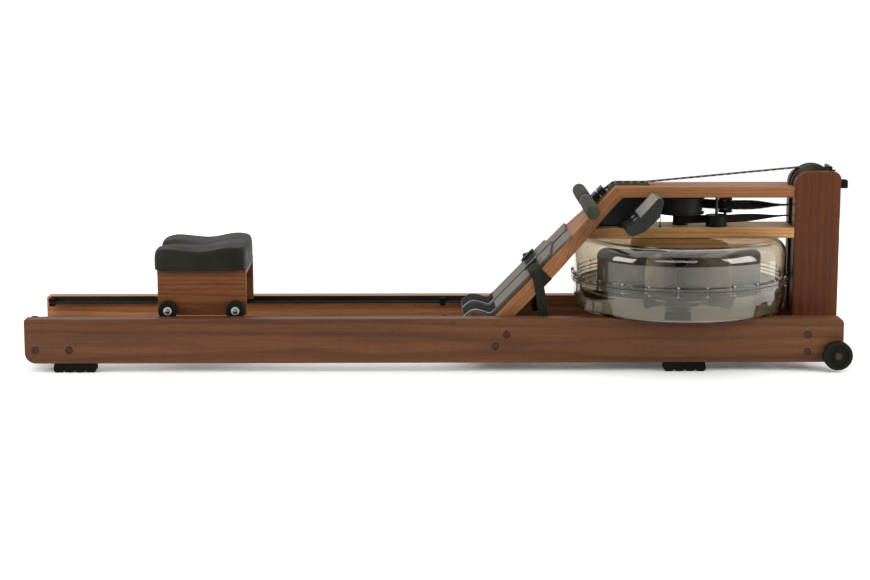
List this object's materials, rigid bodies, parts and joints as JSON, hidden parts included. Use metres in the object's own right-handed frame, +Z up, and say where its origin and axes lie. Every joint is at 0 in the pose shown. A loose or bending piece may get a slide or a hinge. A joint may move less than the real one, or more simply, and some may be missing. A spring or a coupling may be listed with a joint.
{
  "type": "rowing machine",
  "caption": "Wooden water-resistance rowing machine: rolling seat on twin rails, sloping footboard with straps, pull handle on a webbing strap, clear round water tank and paddle, end posts",
  "frame": {"origin": "on the floor under the middle of the overall box", "axes": "+X from the seat towards the tank and posts, +Z up, the rower's right hand on -Y"},
  "size_m": [2.115, 0.57, 0.513],
  "materials": {
    "walnut": "oiled walnut",
    "walnut_light": "oiled walnut, lighter board",
    "deck_wood": "oiled light hardwood",
    "black_plastic": "moulded, matt",
    "rubber": "moulded rubber",
    "foam": "closed-cell foam grip",
    "dark_steel": "black oxide steel",
    "steel": "bright zinc",
    "tank_clear": "clear polycarbonate",
    "paddle_grey": "moulded",
    "webbing": "woven polyester webbing",
    "pad_grey": "moulded, fine texture",
    "seat_foam": "soft skinned foam",
    "screen": "grey liquid crystal window",
    "button_grey": "moulded"
  },
  "bodies": {
    "root": {"display_arm": "black_plastic", "drive_strap": "webbing", "foot_plates": "pad_grey", "foot_straps": "webbing", "footboard": "walnut_light", "front_cross_board": "walnut", "left_rail": "walnut", "mechanism_bolts": "steel", "mechanism_cover": "black_plastic", "middle_spreader": "walnut", "posts": "walnut", "rail_bolts": "dark_steel", "rear_spreader": "walnut", "recoil_strap": "webbing", "right_rail": "walnut", "rubber_bumpers": "rubber", "rubber_feet": "rubber", "seat_tracks": "black_plastic", "shaft_bearings": "black_plastic", "shock_cord": "webbing", "strap_buckles": "black_plastic", "strap_guard": "black_plastic", "strap_skid": "button_grey", "tank_base": "walnut", "tank_deck": "deck_wood", "tank_lower_shell": "tank_clear", "tank_screws": "steel", "tank_seal": "rubber", "tank_upper_shell": "tank_clear", "top_board": "walnut_light", "transport_axles": "steel"},
    "seat": {"seat_pad": "seat_foam", "seat_board": "walnut", "seat_panels": "walnut", "seat_wheel_bolts": "steel"},
    "wheel_right_rear": {"seat_wheel_right_rear": "rubber"},
    "wheel_right_front": {"seat_wheel_right_front": "rubber"},
    "wheel_left_rear": {"seat_wheel_left_rear": "rubber"},
    "wheel_left_front": {"seat_wheel_left_front": "rubber"},
    "handle": {"handle_bar": "dark_steel", "handle_grips": "foam", "handle_yoke": "black_plastic"},
    "upper_pulley": {"top_pulley": "black_plastic"},
    "recoil_pulley": {"lower_pulley": "black_plastic"},
    "cord_pulley": {"floor_pulley": "black_plastic"},
    "drum": {"drive_drum": "black_plastic"},
    "upper_roller": {"upper_guide_roller": "black_plastic"},
    "lower_roller": {"lower_guide_roller": "black_plastic"},
    "paddle": {"paddle_shaft": "steel", "paddle_hub": "black_plastic", "paddle_blades": "paddle_grey"},
    "transport_right": {"right_transport_wheel": "rubber"},
    "transport_left": {"left_transport_wheel": "rubber"},
    "display": {"display_body": "black_plastic", "display_screen": "screen"},
    "button_right": {"display_button_right": "button_grey"},
    "button_left": {"display_button_left": "button_grey"},
    "heel_right": {"right_heel_slide": "pad_grey"},
    "heel_left": {"left_heel_slide": "pad_grey"},
    "plug": {"fill_plug": "black_plastic"}
  },
  "joints": [
    {"name": "seat_travel", "type": "slide", "parent": "root", "child": "seat", "axis": [1, 0, 0], "range_m": [-0.31, 0.505]},
    {"name": "spin_right_rear", "type": "hinge", "parent": "seat", "child": "wheel_right_rear", "pos_m": [-0.6965, -0.1365, 0.151], "axis": [0, 1, 0], "continuous": true},
    {"name": "spin_right_front", "type": "hinge", "parent": "seat", "child": "wheel_right_front", "pos_m": [-0.5235, -0.1365, 0.151], "axis": [0, 1, 0], "continuous": true},
    {"name": "spin_left_rear", "type": "hinge", "parent": "seat", "child": "wheel_left_rear", "pos_m": [-0.6965, 0.1365, 0.151], "axis": [0, 1, 0], "continuous": true},
    {"name": "spin_left_front", "type": "hinge", "parent": "seat", "child": "wheel_left_front", "pos_m": [-0.5235, 0.1365, 0.151], "axis": [0, 1, 0], "continuous": true},
    {"name": "handle_pull", "type": "slide", "parent": "root", "child": "handle", "axis": [-0.9848, 0, 0.1736], "range_m": [0, 1.15], "stiffness_N_per_m": 22, "springref_m": -0.8, "deforming": ["drive_strap"]},
    {"name": "upper_pulley_spin", "type": "hinge", "parent": "root", "child": "upper_pulley", "pos_m": [0.973, 0, 0.455], "axis": [0, 1, 0], "continuous": true},
    {"name": "drum_spin", "type": "hinge", "parent": "root", "child": "drum", "pos_m": [0.631, 0, 0.4], "axis": [0, 0, 1], "continuous": true},
    {"name": "paddle_spin", "type": "hinge", "parent": "root", "child": "paddle", "pos_m": [0.631, 0, 0.25], "axis": [0, 0, 1], "continuous": true},
    {"name": "upper_roller_spin", "type": "hinge", "parent": "root", "child": "upper_roller", "pos_m": [0.752, 0.02, 0.405], "axis": [0, 0, 1], "continuous": true},
    {"name": "lower_roller_spin", "type": "hinge", "parent": "root", "child": "lower_roller", "pos_m": [0.722, -0.029, 0.368], "axis": [0, 0, 1], "continuous": true},
    {"name": "recoil_pulley_spin", "type": "hinge", "parent": "root", "child": "recoil_pulley", "pos_m": [0.969, 0, 0.346], "axis": [0, 1, 0], "continuous": true},
    {"name": "cord_pulley_spin", "type": "hinge", "parent": "root", "child": "cord_pulley", "pos_m": [0.9785, 0, 0.0685], "axis": [0, 1, 0], "continuous": true},
    {"name": "transport_right_spin", "type": "hinge", "parent": "root", "child": "transport_right", "pos_m": [1.015, -0.2, 0.043], "axis": [0, 1, 0], "continuous": true},
    {"name": "transport_left_spin", "type": "hinge", "parent": "root", "child": "transport_left", "pos_m": [1.015, 0.2, 0.043], "axis": [0, 1, 0], "continuous": true},
    {"name": "display_tilt", "type": "hinge", "parent": "root", "child": "display", "pos_m": [0.482, -0.13, 0.368], "axis": [0, 1, 0], "range_deg": [-12, 20]},
    {"name": "press_right", "type": "slide", "parent": "display", "child": "button_right", "axis": [0.7373, 0, -0.6756], "range_m": [0, 0.0012], "stiffness_N_per_m": 500, "springref_m": -0.0004},
    {"name": "press_left", "type": "slide", "parent": "display", "child": "button_left", "axis": [0.7373, 0, -0.6756], "range_m": [0, 0.0012], "stiffness_N_per_m": 500, "springref_m": -0.0004},
    {"name": "heel_right_slide", "type": "slide", "parent": "root", "child": "heel_right", "axis": [0.6947, 0, 0.7193], "range_m": [0, 0.05]},
    {"name": "heel_left_slide", "type": "slide", "parent": "root", "child": "heel_left", "axis": [0.6947, 0, 0.7193], "range_m": [0, 0.05]},
    {"name": "plug_lift", "type": "slide", "parent": "root", "child": "plug", "axis": [0, 0, 1], "range_m": [0, 0.03]}
  ],
  "couplings": [
    {"joint": "spin_right_rear", "follows": "seat_travel", "rad_per_m": 39.526},
    {"joint": "spin_right_front", "follows": "seat_travel", "rad_per_m": 39.526},
    {"joint": "spin_left_rear", "follows": "seat_travel", "rad_per_m": 39.526},
    {"joint": "spin_left_front", "follows": "seat_travel", "rad_per_m": 39.526},
    {"joint": "upper_pulley_spin", "follows": "handle_pull", "rad_per_m": -19.608},
    {"joint": "drum_spin", "follows": "handle_pull", "rad_per_m": -16.835},
    {"joint": "paddle_spin", "follows": "handle_pull", "rad_per_m": -16.835},
    {"joint": "upper_roller_spin", "follows": "handle_pull", "rad_per_m": 51.546},
    {"joint": "lower_roller_spin", "follows": "handle_pull", "rad_per_m": 10.67},
    {"joint": "recoil_pulley_spin", "follows": "handle_pull", "rad_per_m": -10.101},
    {"joint": "cord_pulley_spin", "follows": "handle_pull", "rad_per_m": -14.782}
  ]
}
